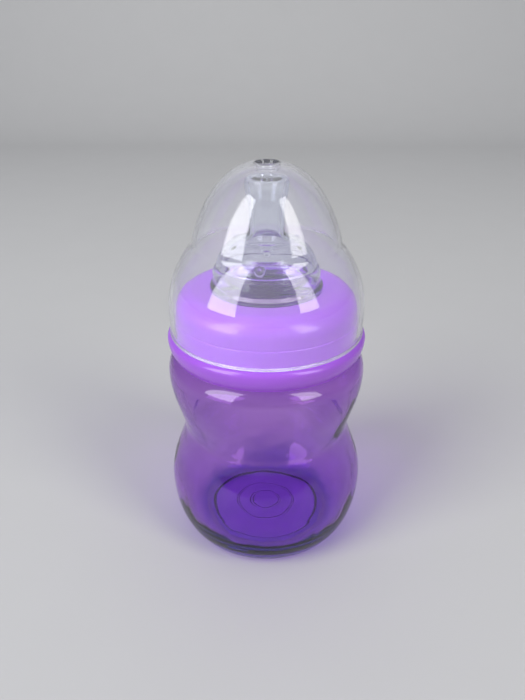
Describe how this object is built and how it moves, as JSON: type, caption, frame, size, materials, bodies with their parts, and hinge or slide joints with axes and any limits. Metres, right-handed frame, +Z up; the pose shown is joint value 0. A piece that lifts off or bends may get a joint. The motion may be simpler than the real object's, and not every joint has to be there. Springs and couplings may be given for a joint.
{
  "type": "baby bottle",
  "caption": "Wide-neck feeding bottle with a double-bulge clear body, screw collar, silicone teat with an air valve, and a clear push-on hood.",
  "frame": {"origin": "centre of the foot ring on the surface that the bottle stands on", "axes": "+Z up along the bottle's axis of revolution, towards the teat; the front of the teat, with its air valve, faces -Y"},
  "size_m": [0.0712, 0.0712, 0.136],
  "materials": {
    "tinted_clear_plastic": "polished, transparent, tinted purple",
    "violet_plastic": "glossy moulded",
    "clear_silicone": "smooth, clear, slightly milky",
    "clear_plastic": "polished, clear"
  },
  "bodies": {
    "bottle": {"bottle": "tinted_clear_plastic"},
    "teat": {"teat": "clear_silicone"},
    "air_flap": {"air_flap": "clear_silicone"},
    "collar": {"collar": "violet_plastic"},
    "hood": {"hood": "clear_plastic"}
  },
  "joints": [
    {"name": "teat_lift", "type": "slide", "parent": "bottle", "child": "teat", "axis": [0, 0, 1], "range_m": [0, 0.005]},
    {"name": "collar_turn", "type": "hinge", "parent": "teat", "child": "collar", "pos_m": [0, 0, 0.08], "axis": [0, 0, 1], "range_deg": [0, 450]},
    {"name": "hood_lift", "type": "slide", "parent": "collar", "child": "hood", "axis": [0, 0, 1], "range_m": [0, 0.06]},
    {"name": "air_flap_swing", "type": "hinge", "parent": "teat", "child": "air_flap", "pos_m": [-0.00196, -0.01395, 0.10738], "axis": [0.9903, -0.1392, 0], "range_deg": [0, 45], "stiffness_Nm_per_rad": 0.000001, "springref_deg": -17.19}
  ],
  "couplings": [
    {"joint": "teat_lift", "follows": "collar_turn", "m_per_rad": 0.0006366}
  ]
}
